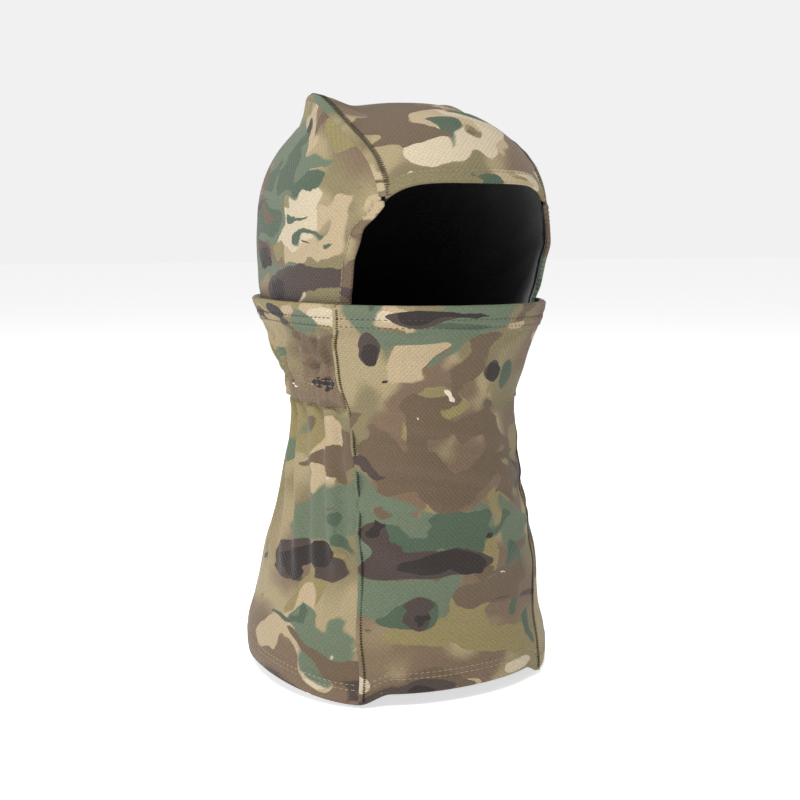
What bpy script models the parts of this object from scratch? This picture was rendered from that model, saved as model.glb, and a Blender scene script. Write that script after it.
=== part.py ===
"""Camouflage knit balaclava with a separate hood and a pull-up mask: a hood of three panels over a black lining, a face
cover that slides down from the nose, and a neck gaiter. Metres, +Z up, the face looks along -Y, the wearer's right is -X.
Heights below are millimetres above the bottom hem's plane; the origin is where the crown of the head meets the lining."""

import math

import bpy
import numpy as np

for old in list(bpy.data.objects):
    bpy.data.objects.remove(old, do_unlink=True)

CROWN_SEAT = 330.0  # height of the origin over the bottom plane
NSUP = 2.2  # superellipse exponent of every level section

# ---------------------------------------------------------------- sections


def hermite(x, xs, ys):
    """Smooth curve through stations, flat beyond them."""
    xs, ys = np.asarray(xs, float), np.asarray(ys, float)
    d = np.diff(ys) / np.diff(xs)
    m = np.concatenate([[d[0]], np.where(d[1:] * d[:-1] > 0, 2 * d[1:] * d[:-1] / (d[1:] + d[:-1] + 1e-12), 0), [d[-1]]])
    x = np.clip(np.asarray(x, float), xs[0], xs[-1])
    i = np.clip(np.searchsorted(xs, x, side="right") - 1, 0, len(xs) - 2)
    h = xs[i + 1] - xs[i]
    t = (x - xs[i]) / h
    return (
        (2 * t**3 - 3 * t**2 + 1) * ys[i]
        + (t**3 - 2 * t**2 + t) * h * m[i]
        + (-2 * t**3 + 3 * t**2) * ys[i + 1]
        + (t**3 - t**2) * h * m[i + 1]
    )


def ease(x, lo, hi):
    t = np.clip((np.asarray(x, float) - lo) / (hi - lo), 0, 1)
    return t * t * (3 - 2 * t)


# The tube: half width, half depth and centre of each level section, and where its side seam runs.
TUBE_Z = [-8, 0, 14, 31, 61, 90, 115, 145, 165, 179, 190, 200, 212]
TUBE_A = [88.5, 89.5, 90.5, 86, 80, 72, 67, 63.5, 67.5, 72, 75, 79.5, 83.5]
TUBE_D = [85, 86, 87, 84.6, 83.6, 80.7, 78.5, 74.5, 80, 87, 94, 100.5, 106]
TUBE_C = [4, 4.2, 4.6, 5, 0, -1.4, -2.7, -5.6, -2, -0.5, 0.5, 2, 3.5]
SEAM_Z = [0, 60, 115, 145, 165, 190, 212]
SEAM_X = [58.5, 57.7, 55, 55.4, 60.5, 66.8, 71]


TUBE = TUBE_Z, TUBE_A, TUBE_D, TUBE_C
# The collar inside it, on which the hood's foot meets the neck: the same four columns.
COLLAR = [126, 145, 165, 179, 190], [60.2, 58.9, 62.6, 64.2, 65], [71.4, 69.9, 74.8, 79, 83], [-4, -5.6, -2, -0.9, -1]


def tube_point(theta, z, inset=0.0, table=TUBE):
    """A point of the tube at the angle theta from the front, positive to the wearer's left."""
    theta, z = np.broadcast_arrays(np.asarray(theta, float), np.asarray(z, float))
    a = hermite(z, table[0], table[1]) - inset
    d = hermite(z, table[0], table[2]) - inset
    c = hermite(z, table[0], table[3])
    s, k = np.sin(theta), np.cos(theta)
    x = a * np.sign(s) * np.abs(s) ** (2 / NSUP)
    y = c - d * np.sign(k) * np.abs(k) ** (2 / NSUP)
    return np.stack([x, y, z], -1)


def seam_angle(z):
    """The side seam's angle from the front."""
    a = hermite(z, TUBE_Z, TUBE_A)
    return np.arcsin((hermite(z, SEAM_Z, SEAM_X) / a) ** (NSUP / 2))


def arc_angle(z, theta, length):
    """The angle that a length along the section takes up near theta."""
    p, q = tube_point(theta - 0.01, z), tube_point(theta + 0.01, z)
    return length * 0.02 / np.linalg.norm(p - q, axis=-1)


def hem_drop(theta, z):
    """The back panel hangs lower beside each side seam; fades out above the hem."""
    lag = np.abs(theta) - seam_angle(np.clip(z, 0, None))
    low = np.where(lag > 0, 6.5 * np.exp(-((lag / 0.55) ** 2)), 0)
    return low * (1 - ease(z, 8, 60))


# The hood: level sections up to the dome, then the dome.
HOOD_Z = [186, 190, 200, 212, 225, 245, 262]
HOOD_A = [69.5, 70.6, 74.4, 78.5, 80.1, 80.3, 79.5]
HOOD_D = [88, 89.6, 95.4, 100.8, 103.8, 105.2, 105]
HOOD_C = [-1, -1, 1.5, 3.5, 4.5, 5, 5]
DOME, TOP = 262.0, 337.0
AX_Y, AX_Z = 5.0, 240.0


def hood_section(z):
    q = np.clip((z - DOME) / (TOP - DOME), 0, 1 - 1e-9)
    a = np.where(z > DOME, 79.5 * np.sqrt(1 - q**2), hermite(z, HOOD_Z, HOOD_A))
    d = np.where(z > DOME, 105.0 * (1 - q**2.6) ** 0.4, hermite(z, HOOD_Z, HOOD_D))
    c = np.where(z > DOME, 5 - 2.5 * np.sin(math.pi * np.minimum(q / 0.9, 1)) + 13 * q**4, hermite(z, HOOD_Z, HOOD_C))
    return a, d, c


def hood_level(p):
    """Under 1 inside the hood's surface."""
    a, d, c = hood_section(p[..., 2])
    inside = np.abs(p[..., 0] / a) ** NSUP + np.abs((p[..., 1] - c) / d) ** NSUP
    return np.where(p[..., 2] >= TOP, 9.0, inside)


def hood_hit(start, way):
    """Where a ray from start along way leaves the hood's surface."""
    start, way = np.broadcast_arrays(np.asarray(start, float), np.asarray(way, float))
    lo, hi = np.zeros(start.shape[:-1]), np.full(start.shape[:-1], 260.0)
    for _ in range(30):
        mid = (lo + hi) / 2
        out = hood_level(start + way * mid[..., None]) > 1
        lo, hi = np.where(out, lo, mid), np.where(out, mid, hi)
    return start + way * lo[..., None]


def hood_out(p):
    """A smooth outward direction near a point of the hood."""
    n = np.stack(
        [p[..., 0] / 80**2, (p[..., 1] - AX_Y) / 105**2, np.clip(p[..., 2] - AX_Z, 0, None) / 94**2], -1
    )
    return n / np.linalg.norm(n, axis=-1, keepdims=True)


def seam_half(psi):
    """Half width of the centre panel, along the way from the brim over the crown to the nape."""
    return hermite(np.degrees(psi), [15, 50, 90, 130, 170, 212], [51, 53, 47, 40, 33, 28])


def angle_of(p):
    return np.arctan2(p[..., 2] - AX_Z, -(p[..., 1] - AX_Y)) % (2 * math.pi)


def hood_dress(p, inset):
    """Adds the raised seam and the sag between the seams, then insets the point."""
    psi = angle_of(p)
    inset = inset + np.maximum(0.1 - inset, 0) * (1 - ease(p[..., 2], 213, 221))
    crown = ease(np.degrees(psi), 35, 80) * (1 - ease(np.degrees(psi), 120, 170))
    beside = np.abs(p[..., 0]) - seam_half(psi)
    lift = crown * (9.0 * np.exp(-((beside / 9) ** 2)) - 1.5 * np.exp(-((p[..., 0] / 26) ** 2)))
    return p + hood_out(p) * (lift - inset)[..., None]


def hood_strip_point(x, psi):
    """The hood's point at x across and psi round from the front."""
    x, psi = np.broadcast_arrays(np.asarray(x, float), np.asarray(psi, float))
    start = np.stack([x, np.full_like(x, AX_Y), np.full_like(x, AX_Z)], -1)
    way = np.stack([np.zeros_like(x), -np.cos(psi), np.sin(psi)], -1)
    return hood_hit(start, way)


def hood_psi_at(x, height):
    """The angle at which the strip at x crosses a height, at the front."""
    lo, hi = np.radians(-35) * np.ones_like(x), np.radians(75) * np.ones_like(x)
    for _ in range(26):
        mid = (lo + hi) / 2
        low = hood_strip_point(x, mid)[..., 2] < height
        lo, hi = np.where(low, mid, lo), np.where(low, hi, mid)
    return (lo + hi) / 2


def brim_height(x):
    """Lower edge of the brim, over the brows."""
    return 280 - 8.5 * np.minimum(np.abs(x) / 50, 1.1) ** 6


OPEN_Z = [186, 213, 236, 246, 254, 260, 266.5]
OPEN_X = [64, 64, 63.4, 61.5, 60, 56, 52]


def opening_point(z, out):
    """On the face opening's side, a length out behind its edge; x is given for the wearer's left."""
    a, d, c = hood_section(np.asarray(z, float))
    theta = np.arcsin((hermite(z, OPEN_Z, OPEN_X) / a) ** (NSUP / 2))
    speed = np.sqrt((a * np.cos(theta)) ** 2 + (d * np.sin(theta)) ** 2)
    theta = theta + out / speed
    s, k = np.sin(theta), np.cos(theta)
    return np.stack([a * s ** (2 / NSUP), c - d * np.abs(k) ** (2 / NSUP), np.asarray(z, float)], -1)


SKIRT = 190.0  # where the hood ends inside the face cover
PSI_NAPE = math.radians(210)


def nape_psi(x, height):
    lo, hi = np.radians(165) * np.ones_like(x), np.radians(240) * np.ones_like(x)
    for _ in range(26):
        mid = (lo + hi) / 2
        high = hood_strip_point(x, mid)[..., 2] > height
        lo, hi = np.where(high, mid, lo), np.where(high, hi, mid)
    return (lo + hi) / 2


# ---------------------------------------------------------------- solids


def material(name, rgb, rough, metal=0.0):
    made = bpy.data.materials.new(name)
    made.use_nodes = True
    shader = made.node_tree.nodes["Principled BSDF"]
    shader.inputs["Base Color"].default_value = (*rgb, 1)
    shader.inputs["Roughness"].default_value = rough
    shader.inputs["Metallic"].default_value = metal
    made.diffuse_color = (*rgb, 1)
    return made


CAMO_HOOD = material("camo_knit_hood", (0.235, 0.225, 0.135), 0.92)
CAMO_TOP = material("camo_knit_centre", (0.36, 0.28, 0.17), 0.92)
CAMO_FACE = material("camo_knit_cover", (0.20, 0.155, 0.10), 0.92)
CAMO_WING = material("camo_knit_back", (0.15, 0.115, 0.08), 0.92)
CAMO_NECK = material("camo_knit_neck", (0.17, 0.16, 0.10), 0.92)
CAMO_HEM = material("camo_knit_hem", (0.27, 0.215, 0.14), 0.9)
LINING = material("black_lining", (0.012, 0.012, 0.013), 0.85)
THREAD = material("seam_thread", (0.055, 0.045, 0.036), 0.8)
ELASTIC = material("woven_elastic", (0.03, 0.03, 0.03), 0.7)

ANCHORS = {}


def anchor(name, at_mm):
    made = bpy.data.objects.new(name, None)
    made.empty_display_size = 0.02
    made.location = [v / 1000 for v in at_mm]
    bpy.context.scene.collection.objects.link(made)
    ANCHORS[name] = (made, np.asarray(at_mm, float))
    return made


def solid(name, points, faces, slot, on=None):
    """One closed solid. Points are millimetres over the bottom plane; it is turned outward when inside out."""
    points = np.asarray(points, float) - [0, 0, CROWN_SEAT]
    volume = 0.0
    for face in faces:
        for i in range(1, len(face) - 1):
            volume += np.dot(points[face[0]], np.cross(points[face[i]], points[face[i + 1]]))
    if volume < 0:
        faces = [face[::-1] for face in faces]
    mesh = bpy.data.meshes.new(name)
    made = bpy.data.objects.new(name, mesh)
    if on:
        parent, at = ANCHORS[on]
        points = points - at
        made.parent = parent
    mesh.from_pydata((points / 1000).tolist(), [], [list(map(int, face)) for face in faces])
    mesh.update()
    for polygon in mesh.polygons:
        polygon.use_smooth = True
    mesh.materials.append(slot)
    bpy.context.scene.collection.objects.link(made)
    return made


def slab(name, outer, inner, slot, on=None):
    """A closed sheet between two grids of the same size."""
    rows, cols = outer.shape[:2]
    points = np.concatenate([outer.reshape(-1, 3), inner.reshape(-1, 3)])
    n = rows * cols

    def at(i, j, side):
        return side * n + i * cols + j

    faces = []
    for i in range(rows - 1):
        for j in range(cols - 1):
            faces.append([at(i, j, 0), at(i, j + 1, 0), at(i + 1, j + 1, 0), at(i + 1, j, 0)])
            faces.append([at(i, j, 1), at(i + 1, j, 1), at(i + 1, j + 1, 1), at(i, j + 1, 1)])
    for j in range(cols - 1):
        faces.append([at(0, j, 0), at(0, j, 1), at(0, j + 1, 1), at(0, j + 1, 0)])
        faces.append([at(rows - 1, j, 0), at(rows - 1, j + 1, 0), at(rows - 1, j + 1, 1), at(rows - 1, j, 1)])
    for i in range(rows - 1):
        faces.append([at(i, 0, 0), at(i + 1, 0, 0), at(i + 1, 0, 1), at(i, 0, 1)])
        faces.append([at(i, cols - 1, 0), at(i, cols - 1, 1), at(i + 1, cols - 1, 1), at(i + 1, cols - 1, 0)])
    return solid(name, points, faces, slot, on)


def sweep(name, ring, stations, slot, on=None):
    """A closed profile carried along stations: ring(u) gives the profile's points at u."""
    rings = [ring(u) for u in stations]
    m = len(rings[0])
    faces = []
    for i in range(len(rings) - 1):
        for j in range(m):
            k = (j + 1) % m
            faces.append([i * m + j, i * m + k, (i + 1) * m + k, (i + 1) * m + j])
    faces.append(list(range(m))[::-1])
    faces.append([(len(rings) - 1) * m + j for j in range(m)])
    return solid(name, np.concatenate(rings), faces, slot, on)


def tube_sweep(name, profile, front, stations, slot, on=None, gap=3.3, flare=None):
    """A profile of (inset, z) pairs carried round the tube: the front piece between the seams, or the back one."""
    profile = np.asarray(profile, float)

    def ring(u):
        z = profile[:, 1]
        near = seam_angle(np.clip(z, 0, 212))
        side = arc_angle(np.clip(z, 0, 212), near, gap)
        if front:
            theta = (2 * u - 1) * (near - side)
        else:
            start = near + side
            theta = -start - u * (2 * math.pi - 2 * start)
        inset = profile[:, 0] + (flare(u, z) if flare else 0)
        p = tube_point(theta, z, inset)
        wrapped = np.abs((theta + math.pi) % (2 * math.pi) - math.pi)
        p[:, 2] -= hem_drop(wrapped, z)
        return p

    return sweep(name, ring, stations, slot, on)


def leg(inset, zs):
    return [(inset(z) if callable(inset) else inset, z) for z in zs]


def panel_profile(outer, thick, zs):
    """The closed profile of a plain panel: up its outside and down its inside."""
    return leg(outer, zs) + leg(lambda z: (outer(z) if callable(outer) else outer) + thick, zs[::-1])


def steps(lo, hi, n):
    return [lo + (hi - lo) * i / (n - 1) for i in range(n)]


# ---------------------------------------------------------------- joints' axes

HINGE_Y, HINGE_Z = 110.0, 213.5
HOOD = "hood_axis"
COVER = "face_cover_axis"
anchor(HOOD, (0, HINGE_Y, HINGE_Z - CROWN_SEAT))
anchor(COVER, (0, 0, 212 - CROWN_SEAT))

# ---------------------------------------------------------------- face cover: the ring that pulls down

CLOTH = 1.6
HEM_LOW, HEM_TOP, SKIN = 198.5, 212.0, 0.8


def hem_channel(lo, hi):
    """A folded hem's profile: outer skin, fold, inner skin, open downwards round its elastic."""
    slot_in, slot_out = SKIN, SKIN + 1.6
    outside = leg(0.0, [lo, (lo + hi) / 2, hi - 0.8]) + [(0.7, hi), (slot_out + 0.1, hi)]
    inside = leg(slot_out + SKIN, [hi - 0.8, (lo + hi) / 2, lo + 1.5])
    back = leg(slot_out, [lo + 1.5, (lo + hi) / 2, hi - SKIN]) + leg(slot_in, [hi - SKIN, (lo + hi) / 2, lo])
    return outside + inside + back


FRONT_U, BACK_U = steps(0, 1, 11), steps(0, 1, 21)
tube_sweep("face_cover_hem", hem_channel(HEM_LOW, HEM_TOP), True, FRONT_U, CAMO_HEM, COVER)
tube_sweep("face_cover_elastic", [(1.1, 200.5), (1.1, 210.6), (2.1, 210.6), (2.1, 200.5)], True, FRONT_U, ELASTIC, COVER, gap=4.8)
tube_sweep("face_cover_panel", panel_profile(0.0, CLOTH, [178, 188, 198.1]), True, FRONT_U, CAMO_FACE, COVER)
tube_sweep("back_wing_hem", hem_channel(HEM_LOW, HEM_TOP), False, BACK_U, CAMO_HEM, COVER)
tube_sweep("back_wing", panel_profile(0.0, CLOTH, [178, 188, 198.1]), False, BACK_U, CAMO_WING, COVER)

# ---------------------------------------------------------------- neck


def tuck(z):
    """How far the fixed cloth sits inside the face cover that slides over it."""
    return 3.6 * ease(z, 164, 175)


tube_sweep("neck_front_panel", panel_profile(tuck, CLOTH, [12.4, 24, 42, 64, 88, 112, 132, 148, 160, 169, 176, 183]), True, FRONT_U, CAMO_NECK)
tube_sweep("neck_back_panel", panel_profile(0.0, CLOTH, [12.4, 24, 42, 64, 88, 112, 132, 148, 153.6]), False, BACK_U, CAMO_NECK)


def band_ring():
    """The gathered band's profile: its cloth folds up inside at the foot, round its elastic."""
    lo = 154.0
    zs = [lo + 0.7, 160, 166, 171, 177, 183]
    skin = 0.8
    outside = leg(lambda z: tuck(z) - 1.2 * (1 - ease(z, 158, 168)), zs)
    top = [(tuck(183) + CLOTH, 183), (tuck(177) + CLOTH, 177), (tuck(171) + CLOTH, 171)]
    pocket = leg(lambda z: tuck(z) - 1.2 * (1 - ease(z, 158, 168)) + skin, [171 - 0.8, 166, 160, lo + skin + 0.9])
    inner_up = [(2.1, lo + skin + 0.9), (2.1, 160), (2.1, 165.0), (2.1 + skin, 165.0), (2.1 + skin, 160), (2.1 + skin, lo), (-0.6, lo)]
    return outside + top + pocket + inner_up


tube_sweep("gathered_band", band_ring(), False, BACK_U, CAMO_WING)
tube_sweep("band_elastic", [(0.75, 156.4), (0.75, 160.0), (0.75, 163.6), (1.6, 163.6), (1.6, 156.4)], False, BACK_U, ELASTIC, gap=4.8)


def bottom_hem(top, drop_in):
    """The bottom hem: two skins folded under at the edge."""
    outside = leg(-0.5, [0.9, 6, top])
    inside = leg(drop_in, [top, 6, 0.9])
    return outside + inside + [(drop_in - 0.7, 0.0), (0.2, 0.0)]


tube_sweep("bottom_hem_front", bottom_hem(12.0, 2.3), True, FRONT_U, CAMO_HEM)
tube_sweep("bottom_hem_back", bottom_hem(12.0, 2.3), False, BACK_U, CAMO_HEM)


def side_seam(name, sign, zs, outset, depth, on=None, tucked=None):
    """The lapped seam between the front and back pieces: a narrow upright strip."""
    def ring(z):
        mid = float(seam_angle(np.clip(z, 0, 212)))
        w = float(arc_angle(np.clip(z, 0, 212), mid, 1.6))
        base = tucked(z) if tucked else 0.0
        pts = [(-w, base + 0.2), (0.0, base - outset), (w, base + 0.2), (w, base + depth), (-w, base + depth)]
        p = np.array([tube_point(mid + t, z, i) for t, i in pts])
        p[:, 0] *= sign
        return p

    return sweep(name, ring, zs, THREAD, on)


for side, sign in (("right", -1), ("left", 1)):
    side_seam(f"cover_seam_{side}", sign, [178.2, 188, 198, 205, 211.6], 0.7, 2.6, COVER)
    side_seam(f"neck_seam_{side}", sign, [0.5, 12.4, 24, 42, 64, 88, 112, 132, 148, 160, 169, 176, 182.8], 0.8, 2.2, tucked=tuck)

def collar_ring(u):
    edge = math.radians(56)
    theta = -edge - u * (2 * math.pi - 2 * edge)
    return np.array([tube_point(theta, z, i, COLLAR) for i, z in panel_profile(0.0, 1.3, [128, 145, 160, 172, 180, 188.5])])


sweep("hood_collar", collar_ring, BACK_U, CAMO_WING)

# ---------------------------------------------------------------- hood


def strip_grid(margin, above_brim, height, across, along):
    """The strip between the long seams, as rows round from the front and columns across."""
    u = np.array(across)
    first, last = u * (seam_half(math.radians(24)) - margin), u * (seam_half(PSI_NAPE) - margin)
    lo, hi = hood_psi_at(first, brim_height(first) + above_brim), nape_psi(last, height)
    rows = []
    for v in along:
        psi = lo + v * (hi - lo)
        rows.append(hood_strip_point(u * (seam_half(psi) - margin), psi))
    return np.array(rows)


HOOD_CLOTH = 1.5
EDGE = 2.6


centre = strip_grid(EDGE, 7.9, SKIRT, steps(-1, 1, 9), steps(0, 1, 23))
slab("hood_center_panel", hood_dress(centre, 0.0), hood_dress(centre, HOOD_CLOTH), CAMO_TOP, HOOD)

brim_x = np.array(steps(-48.4, 48.4, 13))
brim_lo, brim_hi = hood_psi_at(brim_x, brim_height(brim_x)), hood_psi_at(brim_x, brim_height(brim_x) + 7.0)
brim = np.array([hood_strip_point(brim_x, brim_lo + t * (brim_hi - brim_lo)) for t in (0, 0.5, 1)])
slab("brim_hem", hood_dress(brim, -0.7), hood_dress(brim, 1.9), CAMO_HEM, HOOD)

SEAM_START = 270.5


LIMITS = {}


def seam_limits(offset):
    """The long seam's first and last angles, at an offset beside it."""
    if offset not in LIMITS:
        first, last = np.array([seam_half(math.radians(20)) + offset]), np.array([seam_half(PSI_NAPE) + offset])
        LIMITS[offset] = float(hood_psi_at(first, SEAM_START + 0 * first)[0]), float(nape_psi(last, SKIRT)[0])
    return LIMITS[offset]


def seam_line(offset, v, sign):
    """The hood's long seam, from the brim over the crown to the nape."""
    lo, hi = seam_limits(offset)
    psi = np.array([lo + v * (hi - lo)])
    p = hood_strip_point(seam_half(psi) + offset, psi)[0]
    return p * [sign, 1, 1]


def coons(front, back, bottom, top, rows, cols):
    """A patch between four curves of directions: s runs front to back, t bottom to top."""
    grid = np.empty((rows, cols, 3))
    centre_point = np.array([0, AX_Y, AX_Z])

    def way(p):
        q = p - centre_point
        return q / np.linalg.norm(q)

    fronts = [way(front(i / (rows - 1))) for i in range(rows)]
    backs = [way(back(i / (rows - 1))) for i in range(rows)]
    corners = fronts[0], fronts[-1], backs[0], backs[-1]
    for j in range(cols):
        s = j / (cols - 1)
        lower, upper = way(bottom(s)), way(top(s))
        for i in range(rows):
            t = i / (rows - 1)
            near, far = fronts[i], backs[i]
            d = (
                (1 - s) * near + s * far + (1 - t) * lower + t * upper
                - ((1 - s) * (1 - t) * corners[0] + (1 - s) * t * corners[1] + s * (1 - t) * corners[2] + s * t * corners[3])
            )
            grid[i, j] = d / np.linalg.norm(d)
    return hood_hit(centre_point, grid)


def skirt_point(theta, sign):
    a, d, c = hood_section(np.asarray(SKIRT))
    s, k = math.sin(theta), math.cos(theta)
    return np.array([sign * a * abs(s) ** (2 / NSUP), c - d * np.sign(k) * abs(k) ** (2 / NSUP), SKIRT])


def skirt_angle(p):
    a, d, c = hood_section(np.asarray(SKIRT))
    s = min(abs(p[0]) / a, 1) ** (NSUP / 2)
    return math.asin(s) if p[1] < c else math.pi - math.asin(s)


def side_patch(sign, edge_out, split, seam_offset, rows, cols):
    """The hood's side, between the opening's band, the skirt and the long seam."""
    def top_back(v):
        return seam_line(seam_offset, v, sign)

    z_end = 266.0
    corner = top_back(0.0)

    def front(t):
        if t < 0.86:
            return opening_point(SKIRT + (z_end - SKIRT) * t / 0.86, edge_out) * [sign, 1, 1]
        k = (t - 0.86) / 0.14
        return (1 - k) * opening_point(z_end, edge_out) * [sign, 1, 1] + k * corner

    p2, p3 = front(0.0), top_back(1.0)
    a2, a3 = skirt_angle(p2), skirt_angle(p3)
    return coons(
        front,
        lambda t: top_back(1 - t * (1 - split)),
        lambda s: skirt_point(a2 + s * (a3 - a2), sign),
        lambda s: top_back(s * split),
        rows,
        cols,
    )


for side, sign in (("right", -1), ("left", 1)):
    grid = side_patch(sign, 8.2, 0.62, EDGE, 13, 14)
    slab(f"hood_side_panel_{side}", hood_dress(grid, 0.0), hood_dress(grid, HOOD_CLOTH), CAMO_HOOD, HOOD)
    zs = steps(SKIRT, 265.5, 11)
    band = np.array([[opening_point(z, 7.0 * t) * [sign, 1, 1] for t in (0, 0.5, 1)] for z in zs])
    slab(f"opening_band_{side}", hood_dress(band, -0.6), hood_dress(band, 1.9), CAMO_HEM, HOOD)
    line = [
        np.array([seam_line(o, v, sign) for o in (-1.8, 0.0, 1.8)]) for v in steps(0.0, 0.999, 25)
    ]
    line = np.array(line)
    outer = hood_dress(line, 0.1)
    outer[:, 1] += hood_out(line[:, 1]) * (1.1 * ease(line[:, 1, 2], 213, 221))[:, None]
    slab(f"crown_seam_{side}", outer, hood_dress(line, 2.0), THREAD, HOOD)

# The lining is two halves that meet over the crown.
LINE_GAP, LINING_CLOTH = 2.9, 1.0


def lining_patch(sign, rows, cols):
    inset_edge = 3.4

    x0 = np.array([0.3])
    lo, hi = hood_psi_at(x0, brim_height(x0) + 3.0), nape_psi(x0, SKIRT + 2)

    def centre_line(v):
        return hood_strip_point(x0, lo + v * (hi - lo))[0] * [sign, 1, 1]

    def brim_line(k):
        x = np.array([0.25 + k * 46.0])
        return hood_strip_point(x, hood_psi_at(x, brim_height(x) + 3.0))[0] * [sign, 1, 1]

    turn = 0.66
    low = 265.0

    def front(t):
        if t < turn:
            return opening_point(SKIRT + 2 + (low - SKIRT - 2) * t / turn, inset_edge) * [sign, 1, 1]
        k = (t - turn) / (1 - turn)
        if k < 0.25:
            m = k / 0.25
            return (1 - m) * opening_point(low, inset_edge) * [sign, 1, 1] + m * brim_line(1.0)
        return brim_line(1.0 - (k - 0.25) / 0.75)

    a2, a3 = skirt_angle(front(0.0)), skirt_angle(centre_line(1.0))
    return coons(
        front,
        lambda t: centre_line(1 - t * 0.4),
        lambda s: skirt_point(a2 + s * (a3 - a2), sign) + [0, 0, 2],
        lambda s: centre_line(s * 0.6),
        rows,
        cols,
    )


for side, sign in (("right", -1), ("left", 1)):
    grid = lining_patch(sign, 15, 15)
    slab(f"hood_lining_{side}", hood_dress(grid, LINE_GAP), hood_dress(grid, LINE_GAP + LINING_CLOTH), LINING, HOOD)
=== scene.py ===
import math

import bpy
import numpy as np
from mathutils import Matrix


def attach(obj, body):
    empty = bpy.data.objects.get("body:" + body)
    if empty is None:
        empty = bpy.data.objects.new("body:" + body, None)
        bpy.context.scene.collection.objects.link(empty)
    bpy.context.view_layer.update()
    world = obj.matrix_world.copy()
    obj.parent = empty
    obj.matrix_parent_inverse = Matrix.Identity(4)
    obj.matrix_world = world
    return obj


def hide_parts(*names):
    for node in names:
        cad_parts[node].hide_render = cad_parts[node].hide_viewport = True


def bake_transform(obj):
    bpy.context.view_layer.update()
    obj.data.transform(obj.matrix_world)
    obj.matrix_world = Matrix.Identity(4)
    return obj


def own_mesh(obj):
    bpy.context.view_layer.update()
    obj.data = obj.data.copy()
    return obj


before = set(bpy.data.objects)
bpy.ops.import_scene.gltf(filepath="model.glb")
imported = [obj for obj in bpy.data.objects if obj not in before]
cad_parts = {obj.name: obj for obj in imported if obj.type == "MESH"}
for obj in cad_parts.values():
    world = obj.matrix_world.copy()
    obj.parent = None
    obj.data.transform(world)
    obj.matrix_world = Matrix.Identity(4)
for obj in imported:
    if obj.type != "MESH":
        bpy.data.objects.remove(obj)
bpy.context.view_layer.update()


FINE = 1.0
CROWN_SEAT = 330.0
NSUP = 2.2

# ---------------------------------------------------------------- sections (millimetres over the bottom plane)


def hermite(x, xs, ys):
    xs, ys = np.asarray(xs, float), np.asarray(ys, float)
    d = np.diff(ys) / np.diff(xs)
    m = np.concatenate([[d[0]], np.where(d[1:] * d[:-1] > 0, 2 * d[1:] * d[:-1] / (d[1:] + d[:-1] + 1e-12), 0), [d[-1]]])
    x = np.clip(np.asarray(x, float), xs[0], xs[-1])
    i = np.clip(np.searchsorted(xs, x, side="right") - 1, 0, len(xs) - 2)
    h = xs[i + 1] - xs[i]
    t = (x - xs[i]) / h
    return (
        (2 * t**3 - 3 * t**2 + 1) * ys[i]
        + (t**3 - 2 * t**2 + t) * h * m[i]
        + (-2 * t**3 + 3 * t**2) * ys[i + 1]
        + (t**3 - t**2) * h * m[i + 1]
    )


def ease(x, lo, hi):
    t = np.clip((np.asarray(x, float) - lo) / (hi - lo), 0, 1)
    return t * t * (3 - 2 * t)


def bell(x, mid, wide):
    return np.exp(-(((x - mid) / wide) ** 2))


TUBE = (
    [-8, 0, 14, 31, 61, 90, 115, 145, 165, 179, 190, 200, 212],
    [88.5, 89.5, 90.5, 86, 80, 72, 67, 63.5, 67.5, 72, 75, 79.5, 83.5],
    [85, 86, 87, 84.6, 83.6, 80.7, 78.5, 74.5, 80, 87, 94, 100.5, 106],
    [4, 4.2, 4.6, 5, 0, -1.4, -2.7, -5.6, -2, -0.5, 0.5, 2, 3.5],
)
COLLAR = [126, 145, 165, 179, 190], [60.2, 58.9, 62.6, 64.2, 65], [71.4, 69.9, 74.8, 79, 83], [-4, -5.6, -2, -0.9, -1]
SEAM_Z = [0, 60, 115, 145, 165, 190, 212]
SEAM_X = [58.5, 57.7, 55, 55.4, 60.5, 66.8, 71]


def tube_point(theta, z, inset=0.0, table=TUBE):
    theta, z = np.broadcast_arrays(np.asarray(theta, float), np.asarray(z, float))
    a = hermite(z, table[0], table[1]) - inset
    d = hermite(z, table[0], table[2]) - inset
    c = hermite(z, table[0], table[3])
    s, k = np.sin(theta), np.cos(theta)
    return np.stack([a * np.sign(s) * np.abs(s) ** (2 / NSUP), c - d * np.sign(k) * np.abs(k) ** (2 / NSUP), z], -1)


def seam_angle(z):
    a = hermite(z, TUBE[0], TUBE[1])
    return np.arcsin((hermite(z, SEAM_Z, SEAM_X) / a) ** (NSUP / 2))


def wrap(theta):
    return (theta + math.pi) % (2 * math.pi) - math.pi


def hem_drop(theta, z):
    lag = np.abs(wrap(theta)) - seam_angle(np.clip(z, 0, None))
    low = 6.5 * np.exp(-((np.maximum(lag, 0) / 0.55) ** 2)) * ease(lag, -0.20, 0.02)
    return low * (1 - ease(z, 8, 60))


def wander(a, b, seed, scale):
    """A smooth unsteady field from a few crossed waves."""
    r = np.random.default_rng(seed)
    total = np.zeros(np.broadcast(a, b).shape)
    for _ in range(7):
        w, t = r.uniform(0.6, 1.7) / scale, r.uniform(0, math.tau)
        total = total + np.sin((a * math.cos(t) + b * math.sin(t)) * w * math.tau + r.uniform(0, math.tau))
    return total / 4


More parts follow.
